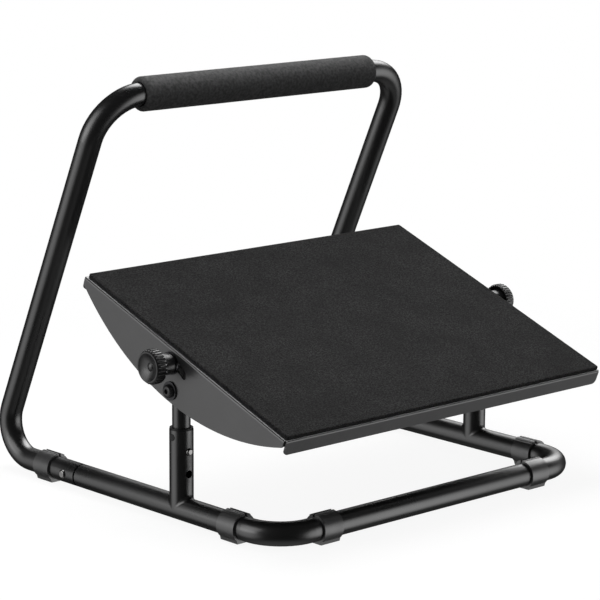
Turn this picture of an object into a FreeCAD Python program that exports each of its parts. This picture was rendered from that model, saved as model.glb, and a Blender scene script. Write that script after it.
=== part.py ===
import FreeCAD, Part
import math
import os

# A tilting footrest on a tube frame with a carrying handle.
# Millimetres. +X is the sitter's right, +Y points from the sitter's heels to the handle, +Z is up.
# The origin is on the floor, in the middle of the footprint of the whole footrest.

# Frame tube and the outline of the frame
tube_od = 25.0
tube_wall = 1.2
frame_half_width = 217.3
front_reach = 146.0
front_bend_radius = 42.0
seam_before_button = 15.5
seam_gap = 2.6
insert_length = 45.0
insert_clearance = 0.05

# Handle, seen from the side: it leaves the floor behind the posts and leans forward
handle_foot_reach = 313.8
handle_height = 411.0
handle_lean = 24.75
handle_foot_radius = 37.5
handle_top_radius = 51.0

# Foam grip on the handle's crossbar
grip_od = 37.2
grip_length = 330.0
grip_end_radius = 4.5
grip_clearance = 0.3
grip_shift = -4.0

# Snap buttons that lock the frame joint and the post height
button_before_rear_clip = 18.9
frame_button_d = 9.4
post_button_d = 7.8
button_hole_clearance = 0.2
button_stand_out = 2.0
button_dome = 1.8
spring_thickness = 0.7
spring_corner_clearance = 0.25
frame_spring_width = 9.0
frame_spring_length = 36.0
post_spring_width = 7.0
post_spring_length = 30.0
spring_tail = 6.0

# Telescopic posts
sleeve_height = 84.0
inner_post_od = 19.0
inner_post_wall = 1.5
running_clearance = 0.05
upper_hole_height = 61.8
height_step = 23.5
bushing_flange = 2.0
bushing_flange_od = 24.4
bushing_depth = 15.0
bushing_nub_height = 76.8
bushing_nub_d = 7.0
inner_post_below_button = 14.0
guide_flange = 4.0
guide_plug = 7.0
guide_clearance = 0.1

# Tilting tray, laid out level with the pivot axis as its own origin
pivot_height = 126.0
tray_tilt = 20.5
tray_tilt_limit = 26.5
tray_depth = 334.8
tray_shift = -1.5
tray_top = 42.0
sheet = 1.5
sheet_bend = 2.0
corner_relief = 2.2
corner_tab_length = 12.0
corner_tab_height = 7.0
lip_height = 16.0
lip_corner_radius = 5.5
cheek_bottom = -12.0
cheek_end_height = 6.4
cheek_end_radius = 2.5
mat_thickness = 3.6
mat_inset_side = 3.0
mat_inset_end = 1.9
mat_shift_right = 1.9
mat_shift_back = 0.8
mat_corner_radius = 2.5
mat_edge_radius = 0.8

# Pivot bolts and tilt clamp
bolt_d = 8.0
bolt_clearance = 0.05
bolt_head_d = 14.0
bolt_head_height = 4.4
bolt_socket = 5.0
bolt_socket_depth = 2.6
pivot_washer_d = 19.6
pivot_washer_thickness = 1.6
washer_clearance = 0.3
nut_across_flats = 13.0
nut_height = 6.5
thread_past_nut = 2.0
saddle_d = 14.0
sleeve_side_clearance = 0.3
side_gap = 0.1
clamp_radius = 28.7
slot_width = 9.0
post_top_above_clamp = 5.3

# Knobs
knob_washer_d = 24.0
knob_washer_thickness = 1.5
knob_head_d = 36.0
knob_head_length = 12.0
knob_length = 28.5
knob_neck_d = 21.5
knob_neck_head_d = 25.0
knob_rim_d = 31.6
knob_rim_wall = 1.4
knob_bevel_length = 3.0
knob_dish_depth = 4.2
knob_boss_radius = 7.0
knob_boss_height = 2.0
knob_recess_depth = 8.0
knob_shell = 2.5
knob_edge_radius = 1.5
knob_flutes = 30
knob_flute_radius = 1.3
knob_stud_embedded = 14.0

# Foot clips
clip_width = 25.5
clip_wall = 2.5
clip_clearance = 0.05
clip_slit = 2.6
clip_slit_shift = 2.5
clip_outer_lip_width = 2.4
clip_outer_lip_height = 0.4
clip_inner_lip_width = 5.0
clip_inner_lip_height = 0.8
clip_block_top_width = 22.5
clip_block_bottom_width = 17.5
clip_block_drop = 6.0
rail_ground_gap = 3.5
pad_inset = 2.2
pad_stand_out = 0.8
pad_recess = 1.0
rear_clip_before_bend = 21.9
side_clip_before_bend = 7.25
front_clip_before_bend = 9.5

# Sizes that follow from the ones above
tube_r = tube_od / 2
tube_bore_r = tube_r - tube_wall
inner_r = inner_post_od / 2
inner_bore_r = inner_r - inner_post_wall
rail_z = rail_ground_gap + tube_r
pivot_z = rail_z + pivot_height
cheek_x = frame_half_width + tube_r + sleeve_side_clearance
saddle_thickness = cheek_x - side_gap - frame_half_width - inner_r
tray_half_width = cheek_x + sheet
outer_x = tray_half_width + side_gap
inner_flat_x = frame_half_width - inner_r - saddle_thickness
bolt_end_x = inner_flat_x - nut_height - thread_past_nut
bolt_r = bolt_d / 2
lean = math.radians(handle_lean)
tilt = math.radians(tray_tilt)
handle_top_reach = handle_foot_reach - handle_height * math.tan(lean)

# The clips, the frame buttons and the seam keep their places along the straight runs of tube
foot_bend_start = handle_foot_reach - handle_foot_radius * math.tan(math.radians(90 + handle_lean) / 2)
rear_clip_reach = foot_bend_start - rear_clip_before_bend - clip_width / 2
frame_button_reach = rear_clip_reach - (clip_width + frame_button_d) / 2 - button_before_rear_clip
seam_reach = frame_button_reach - frame_button_d / 2 - seam_before_button
side_clip_reach = front_reach - front_bend_radius - side_clip_before_bend - clip_width / 2
front_clip_x = frame_half_width - front_bend_radius - front_clip_before_bend - clip_width / 2

# The footprint runs from the tray's front fold to the back of the handle's lower bends
rear_reach = foot_bend_start + handle_foot_radius + tube_r
fold_reach = (tray_depth / 2 - tray_shift - sheet_bend) * math.cos(tilt)
fold_reach += (tray_top - sheet_bend) * math.sin(tilt) + sheet_bend
post_y = (fold_reach - rear_reach) / 2


def vec(x, y, z):
    return FreeCAD.Vector(x, y, z)


X_AXIS = vec(1, 0, 0)
Y_AXIS = vec(0, 1, 0)
Z_AXIS = vec(0, 0, 1)


def rod(centre, axis, radius, length):
    return Part.makeCylinder(radius, length, centre, axis)


def pipe(centre, axis, outer, inner, length):
    return rod(centre, axis, outer, length).cut(rod(centre, axis, inner, length))


def block(x0, x1, y0, y1, z0, z1):
    return Part.makeBox(x1 - x0, y1 - y0, z1 - z0, vec(x0, y0, z0))


def polygon_face(points):
    return Part.Face(Part.makePolygon(points + [points[0]]))


def hexagon_prism(centre, axis_x, across_flats, length):
    # A prism along X, from the centre towards axis_x
    reach = across_flats / math.sqrt(3)
    angles = [math.radians(60 * step) for step in range(6)]
    points = [centre + vec(0, reach * math.cos(a), reach * math.sin(a)) for a in angles]
    return polygon_face(points).extrude(vec(axis_x * length, 0, 0))


def rounded_route(points, radii):
    # Straight runs joined by tangent arcs, one radius for each inner point
    edges = []
    start = points[0]
    for before, corner, after, radius in zip(points, points[1:], points[2:], radii):
        inward = (before - corner).normalize()
        outward = (after - corner).normalize()
        half_turn = (math.pi - inward.getAngle(outward)) / 2
        setback = radius * math.tan(half_turn)
        bisector = (inward + outward).normalize()
        middle = corner + bisector * (radius / math.cos(half_turn) - radius)
        arc_start = corner + inward * setback
        arc_end = corner + outward * setback
        edges.append(Part.LineSegment(start, arc_start).toShape())
        edges.append(Part.Arc(arc_start, middle, arc_end).toShape())
        start = arc_end
    edges.append(Part.LineSegment(start, points[-1]).toShape())
    return Part.Wire(edges)


def sweep_round(route, outer, inner):
    start = route.OrderedVertexes[0].Point
    first = route.OrderedEdges[0]
    direction = first.tangentAt(first.FirstParameter)
    rings = [Part.Wire(Part.makeCircle(radius, start, direction)) for radius in (outer, inner)]
    solids = [route.makePipeShell([ring], True, False) for ring in rings]
    return solids[0].cut(solids[1])


def y_at(reach):
    # A place behind the post axis, or in front of it where reach is negative
    return post_y + reach


def button_hole(centre, direction, diameter):
    # A through cut that starts on the tube's axis, for a hole in one wall only
    return rod(centre, direction, diameter / 2 + button_hole_clearance, tube_od)


def base_tube():
    seam_y = y_at(seam_reach)
    front_y = y_at(-front_reach)
    corners = [
        vec(-frame_half_width, seam_y, rail_z),
        vec(-frame_half_width, front_y, rail_z),
        vec(frame_half_width, front_y, rail_z),
        vec(frame_half_width, seam_y, rail_z),
    ]
    shape = sweep_round(rounded_route(corners, [front_bend_radius] * 2), tube_r, tube_bore_r)
    insert_r = tube_bore_r - insert_clearance
    insert_bore_r = insert_r - tube_wall
    for side in (-1, 1):
        neck = vec(side * frame_half_width, seam_y - tube_wall, rail_z)
        insert = pipe(neck, Y_AXIS, insert_r, insert_bore_r, insert_length + tube_wall)
        shoulder = pipe(neck, Y_AXIS, tube_bore_r, insert_bore_r, tube_wall)
        shape = shape.fuse([insert, shoulder])
        hole = vec(side * frame_half_width, y_at(frame_button_reach), rail_z)
        shape = shape.cut(button_hole(hole, X_AXIS * side, frame_button_d))
    return shape.removeSplitter()


def handle_tube():
    start_y = y_at(seam_reach + seam_gap)
    foot_y = y_at(handle_foot_reach)
    top_y = y_at(handle_top_reach)
    top_z = rail_z + handle_height
    corners = [
        vec(-frame_half_width, start_y, rail_z),
        vec(-frame_half_width, foot_y, rail_z),
        vec(-frame_half_width, top_y, top_z),
        vec(frame_half_width, top_y, top_z),
        vec(frame_half_width, foot_y, rail_z),
        vec(frame_half_width, start_y, rail_z),
    ]
    radii = [handle_foot_radius, handle_top_radius, handle_top_radius, handle_foot_radius]
    shape = sweep_round(rounded_route(corners, radii), tube_r, tube_bore_r)
    for side in (-1, 1):
        hole = vec(side * frame_half_width, y_at(frame_button_reach), rail_z)
        shape = shape.cut(button_hole(hole, X_AXIS * side, frame_button_d))
    return shape


def foam_grip():
    start = vec(grip_shift - grip_length / 2, y_at(handle_top_reach), rail_z + handle_height)
    grip = rod(start, X_AXIS, grip_od / 2, grip_length)
    rims = [edge for edge in grip.Edges if edge.Closed]
    grip = grip.makeFillet(grip_end_radius, rims)
    return grip.cut(rod(start, X_AXIS, tube_r + grip_clearance, grip_length))


def placed(shape, along, out, place):
    # Lays a piece drawn along +X and facing +Z the way it stands in the footrest
    moved = shape.copy()
    turn = FreeCAD.Rotation(along, out.cross(along), out, "XZY")
    moved.Placement = FreeCAD.Placement(place, turn)
    return moved


def snap_seat(bore, width):
    # The height of the leg's face where the strip's corners stand off the round bore
    return math.sqrt(bore ** 2 - (width / 2) ** 2) - spring_corner_clearance


def snap_spring(bore, width, length):
    # A U of leaf spring along +X with its button leg on the +Z side and the button at x = 0
    solids = []
    for leg in (snap_seat(bore, width), snap_seat(bore, width) - spring_thickness):
        legs = block(-spring_tail, length - leg, -width / 2, width / 2, -leg, leg)
        solids.append(legs.fuse(rod(vec(length - leg, -width / 2, 0), Y_AXIS, leg, width)))
    solids[1].translate(X_AXIS * -spring_thickness)
    return solids[0].cut(solids[1]).removeSplitter()


def snap_button(seat, reach, diameter):
    # A domed button from its seat on the spring to its tip
    button = rod(vec(0, 0, seat), Z_AXIS, diameter / 2, reach - seat)
    rims = [edge for edge in button.Edges if edge.Closed and edge.CenterOfMass.z > seat + button_dome]
    return button.makeFillet(button_dome, rims)


def frame_snap(side):
    # Spring and button of one frame joint: the spring lies in the rail, the button points outwards
    bore = tube_bore_r - insert_clearance - tube_wall
    seat = snap_seat(bore, frame_spring_width)
    spring = snap_spring(bore, frame_spring_width, frame_spring_length)
    button = snap_button(seat, tube_r + button_stand_out, frame_button_d)
    place = vec(side * frame_half_width, y_at(frame_button_reach), rail_z)
    return [placed(shape, Y_AXIS * -1, X_AXIS * side, place) for shape in (spring, button)]


def post_snap(side):
    # Spring and button of one post: the spring stands in the inner post, the button points forward
    seat = snap_seat(inner_bore_r, post_spring_width)
    spring = snap_spring(inner_bore_r, post_spring_width, post_spring_length)
    button = snap_button(seat, tube_r + button_stand_out, post_button_d)
    place = vec(side * frame_half_width, post_y, rail_z + upper_hole_height)
    return [placed(shape, Z_AXIS, Y_AXIS * -1, place) for shape in (spring, button)]


def post_sleeve(side):
    # Coped over the rail; its button holes face forward and the bushing's hole faces outwards
    foot = vec(side * frame_half_width, post_y, rail_z)
    shape = pipe(foot, Z_AXIS, tube_r, tube_bore_r, sleeve_height)
    rail_start = foot - Y_AXIS * tube_od
    shape = shape.cut(rod(rail_start, Y_AXIS, tube_r, 2 * tube_od))
    for height in (upper_hole_height, upper_hole_height - height_step):
        shape = shape.cut(button_hole(foot + Z_AXIS * height, Y_AXIS * -1, post_button_d))
    nub = foot + Z_AXIS * bushing_nub_height
    return shape.cut(button_hole(nub, X_AXIS * side, bushing_nub_d))


def post_bushing(side):
    # A plastic guide pressed into the sleeve's mouth and held by a nub in the sleeve's hole
    foot = vec(side * frame_half_width, post_y, rail_z)
    top = foot + Z_AXIS * sleeve_height
    skirt = rod(top - Z_AXIS * bushing_depth, Z_AXIS, tube_bore_r - running_clearance, bushing_depth)
    flange = rod(top, Z_AXIS, bushing_flange_od / 2, bushing_flange)
    nub = rod(foot + Z_AXIS * bushing_nub_height, X_AXIS * side, bushing_nub_d / 2, tube_r)
    bore_length = bushing_depth + bushing_flange
    bore = rod(top - Z_AXIS * bushing_depth, Z_AXIS, inner_r + running_clearance, bore_length)
    return skirt.fuse([flange, nub]).cut(bore).removeSplitter()


def inner_post_bottom():
    return rail_z + upper_hole_height - inner_post_below_button


def inner_post(side):
    bottom = vec(side * frame_half_width, post_y, inner_post_bottom())
    top_z = pivot_z + clamp_radius + post_top_above_clamp
    shape = pipe(bottom, Z_AXIS, inner_r, inner_bore_r, top_z - bottom.z)
    button = vec(side * frame_half_width, post_y, rail_z + upper_hole_height)
    shape = shape.cut(button_hole(button, Y_AXIS * -1, post_button_d))
    for height in (pivot_z, pivot_z + clamp_radius):
        start = vec(side * frame_half_width - tube_od / 2, post_y, height)
        shape = shape.cut(rod(start, X_AXIS, bolt_r + bolt_clearance, tube_od))
    return shape


def post_guide(side):
    # A plastic plug in the inner post's lower end that slides in the sleeve
    mouth = vec(side * frame_half_width, post_y, inner_post_bottom())
    plug = rod(mouth, Z_AXIS, inner_bore_r - running_clearance, guide_plug)
    flange = rod(mouth - Z_AXIS * guide_flange, Z_AXIS, tube_bore_r - guide_clearance, guide_flange)
    return plug.fuse(flange).removeSplitter()


def saddle_spacers(side):
    # Four spacers for one post: hollow towards the round post, flat towards the tray or the nut
    solids = []
    post_axis = vec(side * frame_half_width, post_y, pivot_z - saddle_d)
    post = rod(post_axis, Z_AXIS, inner_r, clamp_radius + 2 * saddle_d)
    reach = inner_r + saddle_thickness
    for height in (pivot_z, pivot_z + clamp_radius):
        for outward in (-side, side):
            centre = vec(side * frame_half_width, post_y, height)
            spacer = rod(centre, X_AXIS * outward, saddle_d / 2, reach).cut(post)
            spacer = spacer.cut(rod(centre, X_AXIS * outward, bolt_r + bolt_clearance, reach))
            solids.append(spacer)
    return Part.makeCompound(solids)


def lock_nuts(side):
    solids = []
    for height in (pivot_z, pivot_z + clamp_radius):
        face = vec(side * inner_flat_x, post_y, height)
        nut = hexagon_prism(face, -side, nut_across_flats, nut_height)
        solids.append(nut.cut(rod(face, X_AXIS * -side, bolt_r + bolt_clearance, nut_height)))
    return Part.makeCompound(solids)


def pivot_washer(side):
    face = vec(side * outer_x, post_y, pivot_z)
    return pipe(face, X_AXIS * side, pivot_washer_d / 2, bolt_r + washer_clearance, pivot_washer_thickness)


def pivot_bolt(side):
    # A button head bolt with a hexagon socket, put in from outside
    seat = vec(side * (outer_x + pivot_washer_thickness), post_y, pivot_z)
    head = rod(seat, X_AXIS * side, bolt_head_d / 2, bolt_head_height)
    tip_x = seat.x + side * bolt_head_height
    rims = [edge for edge in head.Edges if edge.Closed and abs(edge.CenterOfMass.x - tip_x) < tube_wall]
    head = head.makeFillet(bolt_head_height * 0.7, rims)
    socket = vec(tip_x, post_y, pivot_z)
    head = head.cut(hexagon_prism(socket, -side, bolt_socket, bolt_socket_depth))
    shank = rod(seat, X_AXIS * -side, bolt_r, abs(seat.x) - bolt_end_x)
    return head.fuse(shank).removeSplitter()


def knob_washer(side):
    face = vec(side * outer_x, post_y, pivot_z + clamp_radius)
    return pipe(face, X_AXIS * side, knob_washer_d / 2, bolt_r + washer_clearance, knob_washer_thickness)


def knob_stud(side):
    start = vec(side * (outer_x + knob_washer_thickness + knob_stud_embedded), post_y, pivot_z + clamp_radius)
    return rod(start, X_AXIS * -side, bolt_r, abs(start.x) - bolt_end_x)


def knob(side):
    # Drawn along +Z from its neck's foot: neck, hollow fluted head, face with a bowl and a domed boss
    neck_length = knob_length - knob_head_length
    head_r = knob_head_d / 2
    rim_r = knob_rim_d / 2
    neck_r = knob_neck_head_d / 2
    neck = Part.makeCone(knob_neck_d / 2, neck_r, neck_length)
    neck = neck.fuse(rod(vec(0, 0, neck_length), Z_AXIS, neck_r, knob_recess_depth + knob_shell))
    drum = rod(vec(0, 0, neck_length), Z_AXIS, head_r, knob_head_length - knob_bevel_length)
    back_rim = [edge for edge in drum.Edges if edge.Closed and edge.CenterOfMass.z < neck_length + knob_shell]
    drum = drum.makeFillet(knob_edge_radius, back_rim)
    bevel = Part.makeCone(head_r, rim_r, knob_bevel_length)
    bevel.translate(Z_AXIS * (knob_length - knob_bevel_length))
    head = drum.fuse(bevel)
    recess = pipe(vec(0, 0, neck_length), Z_AXIS, head_r - knob_shell, neck_r, knob_recess_depth)
    dish_r = rim_r - knob_rim_wall
    dish_floor = knob_length - knob_dish_depth
    bowl_r = (dish_r ** 2 + knob_dish_depth ** 2) / (2 * knob_dish_depth)
    dish = Part.makeSphere(bowl_r, vec(0, 0, dish_floor + bowl_r))
    boss = Part.makeSphere(knob_boss_radius, vec(0, 0, dish_floor + knob_boss_height - knob_boss_radius))
    flutes = []
    for step in range(knob_flutes):
        angle = 2 * math.pi * step / knob_flutes
        foot = vec(head_r * math.cos(angle), head_r * math.sin(angle), neck_length)
        flutes.append(rod(foot, Z_AXIS, knob_flute_radius, knob_head_length))
    shape = head.cut(recess).fuse(neck).cut(dish).fuse(boss)
    shape = shape.cut(Part.makeCompound(flutes))
    shape = shape.cut(rod(vec(0, 0, 0), Z_AXIS, bolt_r, knob_stud_embedded))
    place = vec(side * (outer_x + knob_washer_thickness), post_y, pivot_z + clamp_radius)
    return placed(shape.removeSplitter(), Z_AXIS, X_AXIS * side, place)


def on_tray(shape):
    # From the level tray about its pivot to its place at rest
    shape.rotate(vec(0, 0, 0), X_AXIS, tray_tilt)
    shape.translate(vec(0, post_y, pivot_z))
    return shape


def folded_channel(half_x, half_y, bottom, top, along):
    # A sheet with two opposite edges folded down, the folds running along X or Y
    shell = []
    for inset, radius in ((0, sheet_bend), (sheet, sheet_bend - sheet)):
        x = half_x - inset if along == "Y" else half_x
        y = half_y - inset if along == "X" else half_y
        solid = block(-x, x, -y, y, bottom, top - inset)
        folds = [edge for edge in solid.Edges if runs(edge, along) and edge.CenterOfMass.z > top - 2 * sheet]
        shell.append(solid.makeFillet(radius, folds))
    return shell[0].cut(shell[1])


def runs(edge, along):
    axis = {"X": X_AXIS, "Y": Y_AXIS, "Z": Z_AXIS}[along]
    chord = edge.valueAt(edge.LastParameter) - edge.valueAt(edge.FirstParameter)
    return chord.cross(axis).Length < 1e-6 * chord.Length


def cheek_trim():
    # Everything below the cheek's round lower edge
    end = vec(0, tray_depth / 2, tray_top - cheek_end_height)
    start = vec(0, -end.y, end.z)
    lowest = vec(0, 0, cheek_bottom)
    below = Z_AXIS * 2 * (cheek_bottom - tray_top)
    edges = [
        Part.Arc(start, lowest, end).toShape(),
        Part.LineSegment(end, end + below).toShape(),
        Part.LineSegment(end + below, start + below).toShape(),
        Part.LineSegment(start + below, start).toShape(),
    ]
    face = Part.Face(Part.Wire(edges))
    face.translate(vec(-tray_half_width * 2, 0, 0))
    return face.extrude(X_AXIS * tray_half_width * 4)


def clamp_slots():
    # The arc that the clamp stud follows, through both cheeks, the same length forward and back
    width = 2 * tray_half_width
    start = vec(-tray_half_width, 0, 0)
    outer_r = clamp_radius + slot_width / 2
    ring = pipe(start, X_AXIS, outer_r, clamp_radius - slot_width / 2, width)
    reach = 2 * outer_r
    angles = [-math.radians(tray_tilt_limit), math.radians(tray_tilt_limit)]
    corners = [start] + [start + vec(0, -reach * math.sin(a), reach * math.cos(a)) for a in angles]
    sector = ring.common(polygon_face(corners).extrude(X_AXIS * width))
    ends = []
    for angle in angles:
        centre = start + vec(0, -clamp_radius * math.sin(angle), clamp_radius * math.cos(angle))
        ends.append(rod(centre, X_AXIS, slot_width / 2, width))
    return sector.fuse(ends)


def tray_pan():
    # One folded sheet: cheeks at the sides, low lips at the front and back, notched corners
    half_depth = tray_depth / 2
    bottom = 2 * cheek_bottom
    cheeks = folded_channel(tray_half_width, half_depth - corner_relief, bottom, tray_top, "Y")
    cheeks = cheeks.cut(cheek_trim())
    end_y = half_depth - corner_relief
    tips = [edge for edge in cheeks.Edges if runs(edge, "X") and is_tip(edge, end_y)]
    cheeks = cheeks.makeFillet(cheek_end_radius, tips)
    lip_x = tray_half_width - corner_relief
    lips = folded_channel(lip_x, half_depth, tray_top - lip_height, tray_top, "X")
    lip_corners = [edge for edge in lips.Edges if runs(edge, "Y") and is_lip_corner(edge)]
    lips = lips.makeFillet(lip_corner_radius, lip_corners)
    shape = cheeks.fuse([lips] + corner_tabs(end_y))
    shape.translate(Y_AXIS * tray_shift)
    pivot = rod(vec(-tray_half_width, 0, 0), X_AXIS, bolt_r + bolt_clearance, 2 * tray_half_width)
    shape = shape.cut(clamp_slots()).cut(pivot)
    return on_tray(shape.removeSplitter())


def corner_tabs(end_y):
    # Each cheek's ends are folded in behind the lips, which closes the corner behind its notch
    tabs = []
    bottom = tray_top - corner_tab_height
    for x in (-tray_half_width + sheet, tray_half_width - sheet - corner_tab_length):
        for y in (-end_y, end_y - sheet):
            tabs.append(block(x, x + corner_tab_length, y, y + sheet, bottom, tray_top - sheet / 2))
    return tabs


def is_tip(edge, end_y):
    middle = edge.CenterOfMass
    at_end = abs(abs(middle.y) - end_y) < sheet / 2
    return at_end and middle.z < tray_top - sheet_bend and edge.Length < 2 * sheet


def is_lip_corner(edge):
    middle = edge.CenterOfMass
    return middle.z < tray_top - lip_height + sheet / 2 and edge.Length < 2 * sheet


def mat():
    half_x = tray_half_width - mat_inset_side
    half_y = tray_depth / 2 - mat_inset_end
    shape = block(-half_x, half_x, -half_y, half_y, tray_top, tray_top + mat_thickness)
    corners = [edge for edge in shape.Edges if runs(edge, "Z")]
    shape = shape.makeFillet(mat_corner_radius, corners)
    top = tray_top + mat_thickness
    rim = [edge for edge in shape.Edges if abs(edge.CenterOfMass.z - top) < mat_edge_radius]
    shape = shape.makeFillet(mat_edge_radius, rim)
    shape.translate(vec(mat_shift_right, tray_shift + mat_shift_back, 0))
    return on_tray(shape)


def foot_clip(centre, turn):
    # Drawn about the Y axis with its inner side at +X: a snap ring on a block with a pad recess
    bore_r = tube_r + clip_clearance
    ring_r = bore_r + clip_wall
    half = clip_width / 2
    ring = rod(vec(0, -half, 0), Y_AXIS, ring_r, clip_width)
    foot_z = pad_stand_out - rail_z
    top = clip_block_top_width / 2
    bottom = clip_block_bottom_width / 2
    corners = [
        vec(-bottom, -half, foot_z),
        vec(bottom, -half, foot_z),
        vec(top, -half, -clip_block_drop),
        vec(-top, -half, -clip_block_drop),
    ]
    foot = polygon_face(corners).extrude(Y_AXIS * clip_width)
    left = clip_slit_shift - clip_slit / 2
    right = clip_slit_shift + clip_slit / 2
    outer_lip = clip_lip(left - clip_outer_lip_width, left, ring_r + clip_outer_lip_height)
    inner_lip = clip_lip(right, right + clip_inner_lip_width, ring_r + clip_inner_lip_height)
    shape = ring.fuse([foot, outer_lip, inner_lip])
    shape = shape.cut(rod(vec(0, -half, 0), Y_AXIS, bore_r, clip_width))
    shape = shape.cut(block(left, right, -half, half, 0, tube_od))
    recess = pad_block(pad_inset, foot_z, foot_z + pad_recess)
    shape = shape.cut(recess).removeSplitter()
    shape.rotate(vec(0, 0, 0), Z_AXIS, turn)
    shape.translate(centre)
    return shape


def clip_lip(start_x, end_x, radius):
    # The thicker end of the ring beside its slit
    half = clip_width / 2
    ring = rod(vec(0, -half, 0), Y_AXIS, radius, clip_width)
    return ring.common(block(start_x, end_x, -half, half, 0, radius))


def pad_block(inset, bottom_z, top_z):
    x = clip_block_bottom_width / 2 - inset
    y = clip_width / 2 - inset
    return block(-x, x, -y, y, bottom_z, top_z)


def foot_pad(centre, turn):
    pad = pad_block(pad_inset + running_clearance, -rail_z, pad_stand_out - rail_z + pad_recess)
    pad.rotate(vec(0, 0, 0), Z_AXIS, turn)
    pad.translate(centre)
    return pad


def clip_places():
    places = {}
    for side, word in ((-1, "left"), (1, "right")):
        turn = 90 + 90 * side
        x = side * frame_half_width
        places["rear_" + word] = (vec(x, y_at(rear_clip_reach), rail_z), turn)
        places["side_" + word] = (vec(x, y_at(-side_clip_reach), rail_z), turn)
        places["front_" + word] = (vec(side * front_clip_x, y_at(-front_reach), rail_z), 90)
    return places


def write(name, shape):
    shape.exportStep(os.path.join("parts", name + ".step"))


os.makedirs("parts", exist_ok=True)
write("base_tube", base_tube())
write("handle_tube", handle_tube())
write("foam_grip", foam_grip())
write("tray_pan", tray_pan())
write("mat", mat())
for clip_name, (clip_centre, clip_turn) in clip_places().items():
    write("foot_clip_" + clip_name, foot_clip(clip_centre, clip_turn))
write("foot_pads", Part.makeCompound([foot_pad(*place) for place in clip_places().values()]))
for sign, hand in ((-1, "left"), (1, "right")):
    frame_spring, frame_button = frame_snap(sign)
    post_spring, post_button = post_snap(sign)
    write("frame_spring_" + hand, frame_spring)
    write("frame_button_" + hand, frame_button)
    write("post_spring_" + hand, post_spring)
    write("post_button_" + hand, post_button)
    write("post_sleeve_" + hand, post_sleeve(sign))
    write("post_bushing_" + hand, post_bushing(sign))
    write("inner_post_" + hand, inner_post(sign))
    write("post_guide_" + hand, post_guide(sign))
    write("saddle_spacers_" + hand, saddle_spacers(sign))
    write("lock_nuts_" + hand, lock_nuts(sign))
    write("pivot_washer_" + hand, pivot_washer(sign))
    write("pivot_bolt_" + hand, pivot_bolt(sign))
    write("knob_washer_" + hand, knob_washer(sign))
    write("knob_stud_" + hand, knob_stud(sign))
    write("knob_" + hand, knob(sign))
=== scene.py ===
import math
import bmesh
import bpy
from mathutils import Matrix, Vector, noise


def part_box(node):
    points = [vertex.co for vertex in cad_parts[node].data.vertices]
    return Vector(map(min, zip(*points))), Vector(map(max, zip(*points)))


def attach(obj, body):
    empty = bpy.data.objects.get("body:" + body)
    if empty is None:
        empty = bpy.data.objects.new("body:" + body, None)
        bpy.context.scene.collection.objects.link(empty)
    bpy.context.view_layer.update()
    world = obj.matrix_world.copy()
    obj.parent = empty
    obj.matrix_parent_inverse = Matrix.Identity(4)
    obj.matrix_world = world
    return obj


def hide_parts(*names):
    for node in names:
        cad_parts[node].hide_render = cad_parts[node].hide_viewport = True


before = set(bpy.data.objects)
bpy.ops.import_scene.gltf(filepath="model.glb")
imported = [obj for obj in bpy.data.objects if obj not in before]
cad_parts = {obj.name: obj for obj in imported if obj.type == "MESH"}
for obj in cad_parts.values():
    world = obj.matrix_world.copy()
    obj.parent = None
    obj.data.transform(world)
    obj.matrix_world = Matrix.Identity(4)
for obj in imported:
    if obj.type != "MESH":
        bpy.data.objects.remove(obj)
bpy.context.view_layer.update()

# Studio. The footrest stands on a white floor that fades out into a white room. A large soft
# lamp stands at the camera's left, a weak one at the right behind the footrest, and one hangs
# overhead. The camera looks down at the front left corner from about 2.8 m, through a long lens.

floor_reach = 2.4
floor_sides = 48
floor_bounce_tone = 0.50
floor_seen_tone = 1.60
floor_white_share = 0.91
floor_fade_start = 0.38
floor_fade_end = 1.1
floor_mesh = bpy.data.meshes.new("studio_floor")
floor_points = [(0.0, 0.0, 0.0)]
for step in range(floor_sides):
    angle = 2 * math.pi * step / floor_sides
    floor_points.append((floor_reach * math.cos(angle), floor_reach * math.sin(angle), 0.0))
floor_faces = [(0, 1 + step, 1 + (step + 1) % floor_sides) for step in range(floor_sides)]
floor_mesh.from_pydata(floor_points, [], floor_faces)
studio_floor = bpy.data.objects.new("studio_floor", floor_mesh)
bpy.context.scene.collection.objects.link(studio_floor)

# The camera sees the floor as nearly plain white with a faint shadow. Light bounces off a greyer
# floor, and gloss doesn't mirror it.
white_floor = bpy.data.materials.new("white_floor")
white_floor.use_nodes = True
nodes, links = white_floor.node_tree.nodes, white_floor.node_tree.links
nodes.clear()
floor_out = nodes.new("ShaderNodeOutputMaterial")
floor_paint = nodes.new("ShaderNodeBsdfDiffuse")
floor_tone = nodes.new("ShaderNodeMapRange")
floor_tone.inputs["To Min"].default_value = floor_bounce_tone
floor_tone.inputs["To Max"].default_value = floor_seen_tone
floor_glow = nodes.new("ShaderNodeEmission")
floor_glow.inputs["Color"].default_value = (1.0, 1.0, 1.0, 1.0)
floor_clear = nodes.new("ShaderNodeBsdfTransparent")
floor_path = nodes.new("ShaderNodeLightPath")
floor_lift = nodes.new("ShaderNodeMath")
floor_lift.operation = "MULTIPLY"
floor_lift.inputs[1].default_value = floor_white_share
floor_lifted = nodes.new("ShaderNodeMixShader")
floor_place = nodes.new("ShaderNodeTexCoord")
floor_distance = nodes.new("ShaderNodeVectorMath")
floor_distance.operation = "LENGTH"
floor_fade = nodes.new("ShaderNodeMapRange")
floor_fade.interpolation_type = "SMOOTHSTEP"
floor_fade.inputs["From Min"].default_value = floor_fade_start
floor_fade.inputs["From Max"].default_value = floor_fade_end
floor_gone = nodes.new("ShaderNodeMath")
floor_gone.operation = "MAXIMUM"
floor_mix = nodes.new("ShaderNodeMixShader")
links.new(floor_path.outputs["Is Camera Ray"], floor_tone.inputs["Value"])
links.new(floor_tone.outputs["Result"], floor_paint.inputs["Color"])
links.new(floor_path.outputs["Is Camera Ray"], floor_lift.inputs[0])
links.new(floor_lift.outputs[0], floor_lifted.inputs["Fac"])
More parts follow.
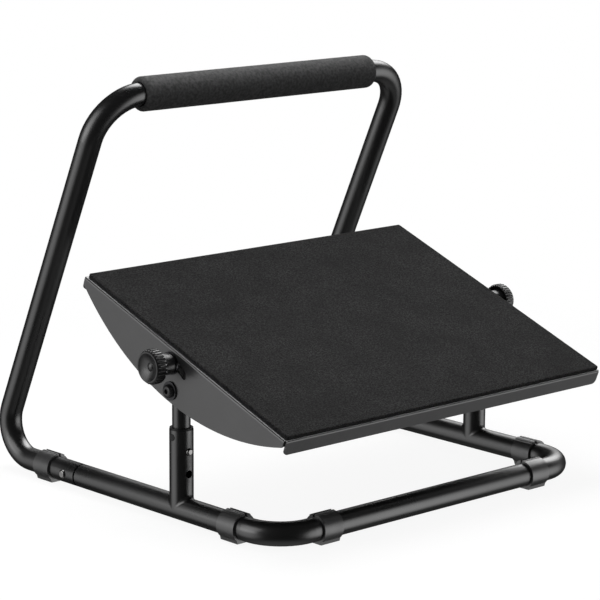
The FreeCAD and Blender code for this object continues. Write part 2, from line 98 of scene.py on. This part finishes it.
links.new(floor_paint.outputs["BSDF"], floor_lifted.inputs[1])
links.new(floor_glow.outputs["Emission"], floor_lifted.inputs[2])
links.new(floor_place.outputs["Object"], floor_distance.inputs[0])
links.new(floor_distance.outputs["Value"], floor_fade.inputs["Value"])
links.new(floor_fade.outputs["Result"], floor_gone.inputs[0])
links.new(floor_path.outputs["Is Glossy Ray"], floor_gone.inputs[1])
links.new(floor_gone.outputs[0], floor_mix.inputs["Fac"])
links.new(floor_lifted.outputs["Shader"], floor_mix.inputs[1])
links.new(floor_clear.outputs["BSDF"], floor_mix.inputs[2])
links.new(floor_mix.outputs["Shader"], floor_out.inputs["Surface"])
floor_mesh.materials.append(white_floor)

# The camera's turn is an azimuth, an elevation and a slight roll. It was fitted about a point on
# the rails' axis, 24 mm in front of the posts.
camera_azimuth = math.radians(-42.749)
camera_elevation = math.radians(11.619)
camera_roll = math.radians(0.362)
camera_offset = Vector((-0.05449, 0.18848, 2.77108))
camera_lens = 154.48
sight_ahead = 0.024
sleeve_low, sleeve_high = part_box("post_sleeve_left")
post_axis_y = (sleeve_low.y + sleeve_high.y) / 2
rail_axis_z = sum(corner.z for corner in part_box("base_tube")) / 2
sight = Vector((0.0, post_axis_y - sight_ahead, rail_axis_z))
turn = Matrix.Rotation(camera_azimuth, 4, "Z")
turn = turn @ Matrix.Rotation(math.pi / 2 - camera_elevation, 4, "X")
turn = turn @ Matrix.Rotation(camera_roll, 4, "Z")
camera_data = bpy.data.cameras.new("camera")
camera_data.lens = camera_lens
camera_data.sensor_width = 36.0
camera = bpy.data.objects.new("camera", camera_data)
camera.matrix_world = Matrix.Translation(sight) @ turn @ Matrix.Translation(camera_offset)
bpy.context.scene.collection.objects.link(camera)
bpy.context.scene.camera = camera

view_right = (turn @ Vector((1, 0, 0, 0))).to_3d()
view_back = (turn @ Vector((0, 0, 1, 0))).to_3d()
view_front_level = Vector((view_back.x, view_back.y, 0)).normalized()
lamp_aim_height = 0.18


def softbox(name, place, size_x, size_y, watts):
    # A flat rectangular lamp, turned towards the middle of the footrest
    data = bpy.data.lights.new(name, "AREA")
    data.shape = "RECTANGLE"
    data.size = size_x
    data.size_y = size_y
    data.energy = watts
    lamp = bpy.data.objects.new(name, data)
    lamp.location = place
    aim = Vector((0, 0, lamp_aim_height)) - place
    lamp.rotation_euler = aim.to_track_quat("-Z", "Y").to_euler()
    bpy.context.scene.collection.objects.link(lamp)
    return lamp


def around(degrees, distance, height):
    # A place in the room, turned from the camera's side towards its right
    swing = math.radians(degrees)
    level = view_front_level * math.cos(swing) + view_right * math.sin(swing)
    return level * distance + Vector((0, 0, height))


softbox("left_softbox", around(degrees=-67, distance=1.9, height=0.82),
        size_x=1.5, size_y=1.6, watts=9.0)
softbox("right_softbox", around(degrees=116, distance=2.0, height=0.75),
        size_x=0.8, size_y=1.3, watts=0.8)
top_softbox = softbox("top_softbox", around(degrees=-110, distance=0.15, height=1.15),
                      size_x=0.7, size_y=0.7, watts=8.2)
top_softbox.visible_glossy = False

# The room lights evenly. Gloss mirrors it in place of the white background: dark, with soft
# patches low behind the left side, low before the right and high behind the right, and a dim
# glow from below. They give the tubes soft bands and dark cores, and the folds a bright line.
room_level = 0.24
mirror_dusk = 0.03
# Each patch: its direction, the angles at which it ends and is full, and its strength
mirror_patches = [
    ((-0.85, 0.49, -0.20), 39, 8, 0.70),
    ((0.69, -0.69, -0.19), 37, 5, 1.25),
    ((0.0, 0.0, -1.0), 52, 15, 0.16),
    ((0.66, 0.33, 0.68), 30, 12, 4.2),
]
room = bpy.data.worlds.new("white_room")
bpy.context.scene.world = room
room.use_nodes = True
nodes, links = room.node_tree.nodes, room.node_tree.links
nodes.clear()


def board(direction, edge, core, strength):
    # A soft round patch in the mirrored room
    facing = nodes.new("ShaderNodeVectorMath")
    facing.operation = "DOT_PRODUCT"
    facing.inputs[1].default_value = Vector(direction).normalized()
    patch = nodes.new("ShaderNodeMapRange")
    patch.interpolation_type = "SMOOTHSTEP"
    patch.inputs["From Min"].default_value = math.cos(math.radians(edge))
    patch.inputs["From Max"].default_value = math.cos(math.radians(core))
    patch.inputs["To Max"].default_value = strength
    links.new(room_place.outputs["Generated"], facing.inputs[0])
    links.new(facing.outputs["Value"], patch.inputs["Value"])
    return patch.outputs["Result"]


room_out = nodes.new("ShaderNodeOutputWorld")
room_path = nodes.new("ShaderNodeLightPath")
room_place = nodes.new("ShaderNodeTexCoord")
mirrored = None
for direction, edge, core, strength in mirror_patches:
    added = nodes.new("ShaderNodeMath")
    added.operation = "ADD"
    added.inputs[1].default_value = mirror_dusk
    links.new(board(direction, edge, core, strength), added.inputs[0])
    if mirrored is not None:
        links.new(mirrored, added.inputs[1])
    mirrored = added.outputs[0]
room_ambient = nodes.new("ShaderNodeBackground")
room_ambient.inputs["Strength"].default_value = room_level
room_mirror = nodes.new("ShaderNodeBackground")
room_white = nodes.new("ShaderNodeBackground")
room_glossy = nodes.new("ShaderNodeMixShader")
room_seen = nodes.new("ShaderNodeMixShader")
for shade in (room_ambient, room_mirror, room_white):
    shade.inputs["Color"].default_value = (1.0, 1.0, 1.0, 1.0)
links.new(mirrored, room_mirror.inputs["Strength"])
links.new(room_path.outputs["Is Glossy Ray"], room_glossy.inputs["Fac"])
links.new(room_ambient.outputs["Background"], room_glossy.inputs[1])
links.new(room_mirror.outputs["Background"], room_glossy.inputs[2])
links.new(room_path.outputs["Is Camera Ray"], room_seen.inputs["Fac"])
links.new(room_glossy.outputs["Shader"], room_seen.inputs[1])
links.new(room_white.outputs["Background"], room_seen.inputs[2])
links.new(room_seen.outputs["Shader"], room_out.inputs["Surface"])
bpy.context.scene.view_settings.view_transform = "Standard"

# Frame. The base tube, the handle tube, the post sleeves and the inner posts are steel tube
# with a satin black powder coat: a fine orange peel, faint mottling and a few rubbed spots.


def start_material(name, tone, roughness):
    # A plain surface shader with its colour, ready for a finish's own nodes
    material = bpy.data.materials.new(name)
    material.use_nodes = True
    tree = material.node_tree
    shader = tree.nodes["Principled BSDF"]
    shader.inputs["Base Color"].default_value = (*tone, 1.0)
    shader.inputs["Roughness"].default_value = roughness
    return material, tree.nodes, tree.links, shader


def grain(nodes, links, scale, detail, stretch=(1.0, 1.0, 1.0)):
    # Noise on the object's own coordinates, in cells per metre
    place = nodes.new("ShaderNodeTexCoord")
    mapping = nodes.new("ShaderNodeMapping")
    mapping.inputs["Scale"].default_value = stretch
    texture = nodes.new("ShaderNodeTexNoise")
    texture.inputs["Scale"].default_value = scale
    texture.inputs["Detail"].default_value = detail
    links.new(place.outputs["Object"], mapping.inputs["Vector"])
    links.new(mapping.outputs["Vector"], texture.inputs["Vector"])
    return texture.outputs["Fac"]


def between(nodes, links, value, low, high, start=0.3, end=0.7):
    # A grain's middle range spread over the numbers from low to high
    spread = nodes.new("ShaderNodeMapRange")
    spread.inputs["From Min"].default_value = start
    spread.inputs["From Max"].default_value = end
    spread.inputs["To Min"].default_value = low
    spread.inputs["To Max"].default_value = high
    links.new(value, spread.inputs["Value"])
    return spread.outputs["Result"]


def tint(nodes, links, value, dark, light):
    # A colour between two tones, led by a number from 0 to 1
    mix = nodes.new("ShaderNodeMix")
    mix.data_type = "RGBA"
    mix.inputs["A"].default_value = (*dark, 1.0)
    mix.inputs["B"].default_value = (*light, 1.0)
    links.new(value, mix.inputs["Factor"])
    return mix.outputs["Result"]


def relief(nodes, links, shader, value, height, strength=1.0):
    # Fine relief of a given height in metres
    bump = nodes.new("ShaderNodeBump")
    bump.inputs["Distance"].default_value = height
    bump.inputs["Strength"].default_value = strength
    links.new(value, bump.inputs["Height"])
    links.new(bump.outputs["Normal"], shader.inputs["Normal"])


def powder_coat(name, dark, light, roughness, gloss):
    # A mottled coat with a fine orange peel, duller or shinier where it is rubbed. Gloss is its IOR
    material, nodes, links, shader = start_material(name, dark, roughness)
    shader.inputs["IOR"].default_value = gloss
    clouds = grain(nodes, links, scale=38.0, detail=4.0)
    mottle = between(nodes, links, clouds, low=0.0, high=1.0)
    links.new(tint(nodes, links, mottle, dark, light), shader.inputs["Base Color"])
    rub = grain(nodes, links, scale=11.0, detail=6.0)
    wear = between(nodes, links, rub, low=roughness - 0.05, high=roughness + 0.06)
    links.new(wear, shader.inputs["Roughness"])
    orange_peel = grain(nodes, links, scale=900.0, detail=2.0)
    relief(nodes, links, shader, orange_peel, height=0.00006, strength=0.55)
    return material


def dress(material, *names):
    # Gives CAD nodes their finish
    for name in names:
        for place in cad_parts[name].material_slots:
            place.material = material


black_coat = powder_coat("black_powder_coat", dark=(0.0024, 0.0024, 0.0026),
                         light=(0.0040, 0.0040, 0.0043), roughness=0.30, gloss=2.2)
dress(black_coat, "base_tube", "handle_tube", "post_sleeve_left", "post_sleeve_right",
      "inner_post_left", "inner_post_right")

# Weld beads. Each sleeve is welded to its rail by one bead round the saddle where the two tubes
# meet. It is a hollow fillet, ground nearly smooth before coating, with faint ripples left in it,
# and it thins out at the sleeve's two sides, where the tubes run flush.

tube_radius = (sleeve_high.x - sleeve_low.x) / 2
bead_radius = 0.0045
bead_sink = 0.0004
bead_arc_steps = 8
bead_turn_steps = 120
bead_flush_angle = math.radians(9)
ripple_spacing = 0.0016
ripple_height = 0.00007


def saddle_fillet(side, front):
    # A ball rolled along both tubes at once leaves this hollow, over one half of the sleeve
    centre_x = side * (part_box("post_sleeve_right")[0].x + tube_radius)
    corner = Vector((centre_x, post_axis_y, rail_axis_z))
    bead = bmesh.new()
    loops = []
    for step in range(bead_turn_steps + 1):
        angle = bead_flush_angle + (math.pi - 2 * bead_flush_angle) * step / bead_turn_steps
        across, along = math.cos(angle), math.sin(angle)
        to_sleeve = Vector((-across, -front * along, 0.0))
        to_rail = Vector((-across, 0.0, -along))
        ball = Vector((across, front * along, along)) * (tube_radius + bead_radius)
        loop = []
        for part in range(bead_arc_steps + 1):
            lean = part / bead_arc_steps
            direction = (to_sleeve * (1 - lean) + to_rail * lean).normalized()
            reach = bead_radius
            if part in (0, bead_arc_steps):
                reach += bead_sink
            loop.append(bead.verts.new(corner + ball + direction * reach))
        root = Vector((across, front * along, along)) * (tube_radius - bead_sink)
        loop.append(bead.verts.new(corner + root))
        loops.append(loop)
    for here, following in zip(loops, loops[1:]):
        for index in range(len(here)):
            after = (index + 1) % len(here)
            bead.faces.new((here[index], here[after], following[after], following[index]))
    bead.faces.new(loops[0])
    bead.faces.new(loops[-1])
    bmesh.ops.recalc_face_normals(bead, faces=bead.faces)
    mesh = bpy.data.meshes.new("saddle_fillet")
    bead.to_mesh(mesh)
    bead.free()
    for face in mesh.polygons:
        face.use_smooth = True
    return mesh


def ripple_tree():
    # Lifts the bead's skin in waves that run along it
    tree = bpy.data.node_groups.new("weld_ripples", "GeometryNodeTree")
    face = tree.interface
    face.new_socket("Geometry", in_out="INPUT", socket_type="NodeSocketGeometry")
    spacing = face.new_socket("Ripple spacing", in_out="INPUT", socket_type="NodeSocketFloat")
    height = face.new_socket("Ripple height", in_out="INPUT", socket_type="NodeSocketFloat")
    finish = face.new_socket("Finish", in_out="INPUT", socket_type="NodeSocketMaterial")
    face.new_socket("Geometry", in_out="OUTPUT", socket_type="NodeSocketGeometry")
    nodes, links = tree.nodes, tree.links
    entry = nodes.new("NodeGroupInput")
    place = nodes.new("GeometryNodeInputPosition")
    step = nodes.new("ShaderNodeMath")
    step.operation = "DIVIDE"
    step.inputs[0].default_value = 1.0
    waves = nodes.new("ShaderNodeTexNoise")
    waves.inputs["Detail"].default_value = 1.0
    centred = nodes.new("ShaderNodeMath")
    centred.operation = "SUBTRACT"
    centred.inputs[1].default_value = 0.5
    lift = nodes.new("ShaderNodeMath")
    lift.operation = "MULTIPLY"
    normal = nodes.new("GeometryNodeInputNormal")
    push = nodes.new("ShaderNodeVectorMath")
    push.operation = "SCALE"
    move = nodes.new("GeometryNodeSetPosition")
    solid = nodes.new("GeometryNodeRealizeInstances")
    paint = nodes.new("GeometryNodeSetMaterial")
    leave = nodes.new("NodeGroupOutput")
    links.new(entry.outputs["Geometry"], move.inputs["Geometry"])
    links.new(entry.outputs["Ripple spacing"], step.inputs[1])
    links.new(place.outputs["Position"], waves.inputs["Vector"])
    links.new(step.outputs[0], waves.inputs["Scale"])
    links.new(waves.outputs["Fac"], centred.inputs[0])
    links.new(centred.outputs[0], lift.inputs[0])
    links.new(entry.outputs["Ripple height"], lift.inputs[1])
    links.new(normal.outputs["Normal"], push.inputs[0])
    links.new(lift.outputs[0], push.inputs["Scale"])
    links.new(push.outputs["Vector"], move.inputs["Offset"])
    links.new(move.outputs["Geometry"], solid.inputs["Geometry"])
    links.new(solid.outputs["Geometry"], paint.inputs["Geometry"])
    links.new(entry.outputs["Finish"], paint.inputs["Material"])
    links.new(paint.outputs["Geometry"], leave.inputs["Geometry"])
    return tree, spacing.identifier, height.identifier, finish.identifier


weld_tree, spacing_id, height_id, finish_id = ripple_tree()
for side, hand in ((-1, "left"), (1, "right")):
    for front, end in ((-1, "front"), (1, "back")):
        bead = bpy.data.objects.new(f"weld_bead_{hand}_{end}", saddle_fillet(side, front))
        bpy.context.scene.collection.objects.link(bead)
        maker = bead.modifiers.new("ripples", "NODES")
        maker.node_group = weld_tree
        maker[spacing_id] = ripple_spacing
        maker[height_id] = ripple_height
        maker[finish_id] = black_coat
        evaluated = bead.evaluated_get(bpy.context.evaluated_depsgraph_get())
        bead_mesh = bpy.data.meshes.new_from_object(evaluated)
        bead.modifiers.remove(maker)
        bead.data = bead_mesh
        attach(bead, "base")

# Tray pan. One folded steel sheet with the same kind of coat in a dark grey, a little duller than
# the tubes', so the flat cheeks show a soft, even sheen and the folds a bright line.

grey_coat = powder_coat("grey_powder_coat", dark=(0.024, 0.024, 0.025),
                        light=(0.031, 0.031, 0.032), roughness=0.33, gloss=2.15)
dress(grey_coat, "tray_pan")

# Mat. A dense needled felt pad glued to the pan's top a few millimetres inside its folds, with
# nearly square corners and a slightly rolled edge. Its grain is short tangled fibre in two greys.

mat_low, mat_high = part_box("mat")
tray_tilt = math.radians(20.5)
mat_width = mat_high.x - mat_low.x
mat_thickness = 0.0036
mat_corner = 0.0025
mat_roll = 0.0011
mat_grid = 0.0024
mat_waviness = 0.00010
mat_settle = 1.0
wave_scale, wave_seed = 120, 3.1
pile_scale, pile_seed, pile_share = 410, 9.4, 0.6
roll_stations = (0.0, 0.08, 0.3, 0.62, 1.0)
mat_depth = ((mat_high.y - mat_low.y) - mat_thickness * math.sin(tray_tilt)) / math.cos(tray_tilt)
mat_centre = (mat_low + mat_high) / 2


def spaced(half, step, roll):
    # Stations across the mat: close together over the rolled edges, even in between
    edge = [roll * part for part in roll_stations]
    inner = half - roll
    count = round(2 * inner / step)
    middle = [-inner + 2 * inner * index / count for index in range(1, count)]
    return [-half + gap for gap in edge] + middle + [half - gap for gap in reversed(edge)]


mat_mesh = bpy.data.meshes.new("mat_felt")
felt = bmesh.new()
half_x, half_y = mat_width / 2, mat_depth / 2
columns = spaced(half_x, mat_grid, mat_roll)
rows = spaced(half_y, mat_grid, mat_roll)
rows_of_points = []
for y in rows:
    into_corner = max(abs(y) - (half_y - mat_corner), 0.0)
    reach = half_x - mat_corner + math.sqrt(max(mat_corner ** 2 - into_corner ** 2, 0.0))
    row = []
    for x in columns:
        px = x * reach / half_x
        gap = min(reach - abs(px), half_y - abs(y))
        rolled = 0.0
        if gap < mat_roll:
            rolled = mat_roll - math.sqrt(mat_roll ** 2 - (mat_roll - gap) ** 2)
        wave = noise.noise(Vector((px * wave_scale, y * wave_scale, wave_seed)))
        pile = noise.noise(Vector((px * pile_scale, y * pile_scale, pile_seed)))
        height = wave + pile_share * pile
        lift = mat_waviness * (height - mat_settle) if gap > mat_roll else 0.0
        row.append(felt.verts.new((px, y, mat_thickness - rolled + lift)))
    rows_of_points.append(row)
for lower, upper in zip(rows_of_points, rows_of_points[1:]):
    for index in range(len(columns) - 1):
        felt.faces.new((lower[index], lower[index + 1], upper[index + 1], upper[index]))
rim = [edge for edge in felt.edges if edge.is_boundary]
skirt = bmesh.ops.extrude_edge_only(felt, edges=rim)
skirt_points = [item for item in skirt["geom"] if isinstance(item, bmesh.types.BMVert)]
for point in skirt_points:
    point.co.z = 0.0
bmesh.ops.contextual_create(felt, geom=[e for e in felt.edges if e.is_boundary])
bmesh.ops.recalc_face_normals(felt, faces=felt.faces)
lay = Matrix.Rotation(tray_tilt, 4, "X")
up_normal = (lay @ Vector((0, 0, 1, 0))).to_3d()
mat_place = mat_centre - up_normal * mat_thickness / 2
felt.transform(Matrix.Translation(mat_place) @ lay)
felt.to_mesh(mat_mesh)
felt.free()
for face in mat_mesh.polygons:
    face.use_smooth = True
mat_piece = bpy.data.objects.new("felt_mat", mat_mesh)
bpy.context.scene.collection.objects.link(mat_piece)

felt_dark = (0.0055, 0.0055, 0.0057)
felt_light = (0.046, 0.0456, 0.0458)
grey_felt, nodes, links, shader = start_material("grey_felt", felt_dark, roughness=0.92)
fibre = grain(nodes, links, scale=620.0, detail=7.0)
cloud = grain(nodes, links, scale=26.0, detail=5.0)
cloud = between(nodes, links, cloud, low=0.35, high=0.65)
fleck = nodes.new("ShaderNodeMath")
fleck.operation = "MULTIPLY"
light_fibre = between(nodes, links, fibre, low=0.0, high=1.6, start=0.40, end=0.64)
links.new(light_fibre, fleck.inputs[0])
links.new(cloud, fleck.inputs[1])
links.new(tint(nodes, links, fleck.outputs[0], felt_dark, felt_light), shader.inputs["Base Color"])
shader.inputs["Specular IOR Level"].default_value = 0.08
shader.inputs["Sheen Weight"].default_value = 0.12
shader.inputs["Sheen Roughness"].default_value = 0.5
relief(nodes, links, shader, fibre, height=0.0004, strength=0.7)
mat_mesh.materials.append(grey_felt)
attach(mat_piece, "tray")
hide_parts("mat")

# Foam grip. A sleeve of closed-cell foam pushed over the crossbar, with blunt rounded ends. Its
# ground skin shows fine open cells and a mottled grey bloom.

grip_low, grip_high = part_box("foam_grip")
grip_radius = (grip_high.z - grip_low.z) / 2
grip_bore = 0.0128
grip_round = 0.0045
grip_step = 0.0014
grip_sides = 88
grip_relief = 0.00007
grip_round_steps = 6
cell_scale, lump_scale = 330, 95
lump_share = 0.7
cell_sink = 1.4
grip_y = (grip_low.y + grip_high.y) / 2
grip_z = (grip_low.z + grip_high.z) / 2
profile = [(grip_low.x, grip_bore), (grip_low.x, grip_radius - grip_round)]
for step in range(1, grip_round_steps + 1):
    angle = math.pi / 2 * step / grip_round_steps
    profile.append((grip_low.x + grip_round * (1 - math.cos(angle)),
                    grip_radius - grip_round * (1 - math.sin(angle))))
grip_end = list(profile)
grip_run = grip_high.x - grip_low.x - 2 * grip_round
grip_count = round(grip_run / grip_step)
for step in range(1, grip_count):
    profile.append((grip_low.x + grip_round + grip_run * step / grip_count, grip_radius))
profile += [(grip_low.x + grip_high.x - x, r) for x, r in reversed(grip_end)]
foam = bmesh.new()
rings = []
for x, radius in profile:
    ring = []
    for side in range(grip_sides):
        angle = 2 * math.pi * side / grip_sides
        direction = Vector((0.0, math.cos(angle), math.sin(angle)))
        spot = Vector((x, grip_y, grip_z)) + direction * radius
        if radius > grip_bore:
            cell = noise.noise(spot * cell_scale) + lump_share * noise.noise(spot * lump_scale)
            spot += direction * grip_relief * (cell - cell_sink)
        ring.append(foam.verts.new(spot))
    rings.append(ring)
rings.append(rings[0])
for here, following in zip(rings, rings[1:]):
    for side in range(grip_sides):
        after = (side + 1) % grip_sides
        foam.faces.new((here[side], here[after], following[after], following[side]))
bmesh.ops.recalc_face_normals(foam, faces=foam.faces)
grip_mesh = bpy.data.meshes.new("grip_foam")
foam.to_mesh(grip_mesh)
foam.free()
for face in grip_mesh.polygons:
    face.use_smooth = True
grip_piece = bpy.data.objects.new("grip_sleeve", grip_mesh)
bpy.context.scene.collection.objects.link(grip_piece)

foam_dark = (0.038, 0.038, 0.0382)
foam_light = (0.078, 0.078, 0.0782)
grey_foam, nodes, links, shader = start_material("grey_foam", foam_dark, roughness=0.78)
bloom = grain(nodes, links, scale=330.0, detail=6.0)
bloom = between(nodes, links, bloom, low=0.0, high=1.0, start=0.36, end=0.66)
links.new(tint(nodes, links, bloom, foam_dark, foam_light), shader.inputs["Base Color"])
cells = nodes.new("ShaderNodeTexVoronoi")
cells.inputs["Scale"].default_value = 1500.0
cell_place = nodes.new("ShaderNodeTexCoord")
links.new(cell_place.outputs["Object"], cells.inputs["Vector"])
shader.inputs["Specular IOR Level"].default_value = 0.35
relief(nodes, links, shader, cells.outputs["Distance"], height=0.0003, strength=0.6)
grip_mesh.materials.append(grey_foam)
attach(grip_piece, "base")
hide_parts("foam_grip")

# Foot clips. Moulded nylon snap rings in satin charcoal, lighter than the tubes and faintly
# clouded, with a rubber pad let into each sole.

clip_places = ("rear", "side", "front")
foot_clips = [f"foot_clip_{place}_{hand}" for place in clip_places for hand in ("left", "right")]
clip_dark = (0.032, 0.032, 0.0325)
clip_light = (0.044, 0.044, 0.0445)
satin_nylon, nodes, links, shader = start_material("satin_nylon", clip_dark, roughness=0.38)
shader.inputs["IOR"].default_value = 2.35
clouding = grain(nodes, links, scale=75.0, detail=4.0)
clouding = between(nodes, links, clouding, low=0.0, high=1.0)
links.new(tint(nodes, links, clouding, clip_dark, clip_light), shader.inputs["Base Color"])
scuff = grain(nodes, links, scale=60.0, detail=3.0)
links.new(between(nodes, links, scuff, low=0.34, high=0.42), shader.inputs["Roughness"])
mould_grain = grain(nodes, links, scale=800.0, detail=3.0)
relief(nodes, links, shader, mould_grain, height=0.00004, strength=0.4)
dress(satin_nylon, *foot_clips)

rubber_tone = (0.012, 0.012, 0.012)
rubber_dark = (0.010, 0.010, 0.010)
rubber_dusty = (0.022, 0.021, 0.020)
pad_rubber, nodes, links, shader = start_material("pad_rubber", rubber_tone, roughness=0.85)
dust = grain(nodes, links, scale=140.0, detail=5.0)
dust = between(nodes, links, dust, low=0.0, high=1.0)
links.new(tint(nodes, links, dust, rubber_dark, rubber_dusty), shader.inputs["Base Color"])
rubber_grain = grain(nodes, links, scale=1400.0, detail=3.0)
relief(nodes, links, shader, rubber_grain, height=0.0001, strength=0.6)
dress(pad_rubber, "foot_pads")

# Guides. The bushing in each sleeve's mouth, the plug on the inner post's end and the saddle
# spacers are plain moulded nylon, black and slightly dull.

nylon_tone = (0.010, 0.010, 0.011)
black_nylon, nodes, links, shader = start_material("black_nylon", nylon_tone, roughness=0.48)
haze = grain(nodes, links, scale=90.0, detail=4.0)
links.new(between(nodes, links, haze, low=0.42, high=0.55), shader.inputs["Roughness"])
nylon_grain = grain(nodes, links, scale=1300.0, detail=2.0)
relief(nodes, links, shader, nylon_grain, height=0.00004, strength=0.4)
dress(black_nylon, "post_bushing_left", "post_bushing_right", "post_guide_left", "post_guide_right",
      "saddle_spacers_left", "saddle_spacers_right")

# Snap buttons. Turned steel with a bright nickel plate and a domed tip. Each stands in a hole of
# its tube, pushed out from inside by a leaf spring of blued strip.

nickel_tone = (0.34, 0.335, 0.33)
nickel, nodes, links, shader = start_material("bright_nickel", nickel_tone, roughness=0.055)
shader.inputs["Metallic"].default_value = 1.0
turned = grain(nodes, links, scale=700.0, detail=2.0)
links.new(between(nodes, links, turned, low=0.03, high=0.08), shader.inputs["Roughness"])
relief(nodes, links, shader, turned, height=0.00001, strength=0.4)
dress(nickel, "post_button_left", "post_button_right", "frame_button_left", "frame_button_right")

blued_tone = (0.22, 0.22, 0.24)
spring_steel, nodes, links, shader = start_material("spring_steel", blued_tone, roughness=0.35)
shader.inputs["Metallic"].default_value = 1.0
rolled_lines = grain(nodes, links, scale=500.0, detail=3.0, stretch=(1.0, 0.1, 0.1))
links.new(between(nodes, links, rolled_lines, low=0.28, high=0.45), shader.inputs["Roughness"])
dress(spring_steel, "post_spring_left", "post_spring_right",
      "frame_spring_left", "frame_spring_right")

# Pivot bolts, washers and nuts. The bolts' button heads are coated nearly black; the washers are
# dark zinc, and the studs and lock nuts inside are bright zinc.

bolt_coat = powder_coat("bolt_coat", dark=(0.020, 0.020, 0.021),
                        light=(0.028, 0.028, 0.029), roughness=0.34, gloss=1.6)
dress(bolt_coat, "pivot_bolt_left", "pivot_bolt_right")

zinc_dull_share = 0.72


def zinc(name, tone, roughness):
    # Zinc plate, with patches of its spangle duller and rougher than the rest
    material, nodes, links, shader = start_material(name, tone, roughness)
    shader.inputs["Metallic"].default_value = 1.0
    spangle = grain(nodes, links, scale=260.0, detail=4.0)
    dull = tuple(part * zinc_dull_share for part in tone)
    spread = between(nodes, links, spangle, low=0.0, high=1.0)
    links.new(tint(nodes, links, spread, dull, tone), shader.inputs["Base Color"])
    wear = between(nodes, links, spangle, low=roughness - 0.06, high=roughness + 0.08)
    links.new(wear, shader.inputs["Roughness"])
    plate_grain = grain(nodes, links, scale=1100.0, detail=2.0)
    relief(nodes, links, shader, plate_grain, height=0.00002, strength=0.4)
    return material


dark_zinc = zinc("dark_zinc", tone=(0.09, 0.09, 0.095), roughness=0.36)
bright_zinc = zinc("bright_zinc", tone=(0.55, 0.55, 0.54), roughness=0.30)
dress(dark_zinc, "pivot_washer_left", "pivot_washer_right",
      "knob_washer_left", "knob_washer_right")
dress(bright_zinc, "lock_nuts_left", "lock_nuts_right", "knob_stud_left", "knob_stud_right")

# Knobs. Fluted hand knobs of moulded black phenolic, each with a steel stud moulded in. The
# satin face has faint flow marks and fine handling scratches.

knob_tone = (0.008, 0.008, 0.0085)
black_phenolic, nodes, links, shader = start_material("black_phenolic", knob_tone, roughness=0.36)
scratch = grain(nodes, links, scale=240.0, detail=6.0)
handled = between(nodes, links, scratch, low=0.30, high=0.42, start=0.42, end=0.72)
links.new(handled, shader.inputs["Roughness"])
shader.inputs["IOR"].default_value = 1.9
flow_marks = grain(nodes, links, scale=70.0, detail=2.0)
relief(nodes, links, shader, flow_marks, height=0.00003, strength=0.2)
dress(black_phenolic, "knob_left", "knob_right")
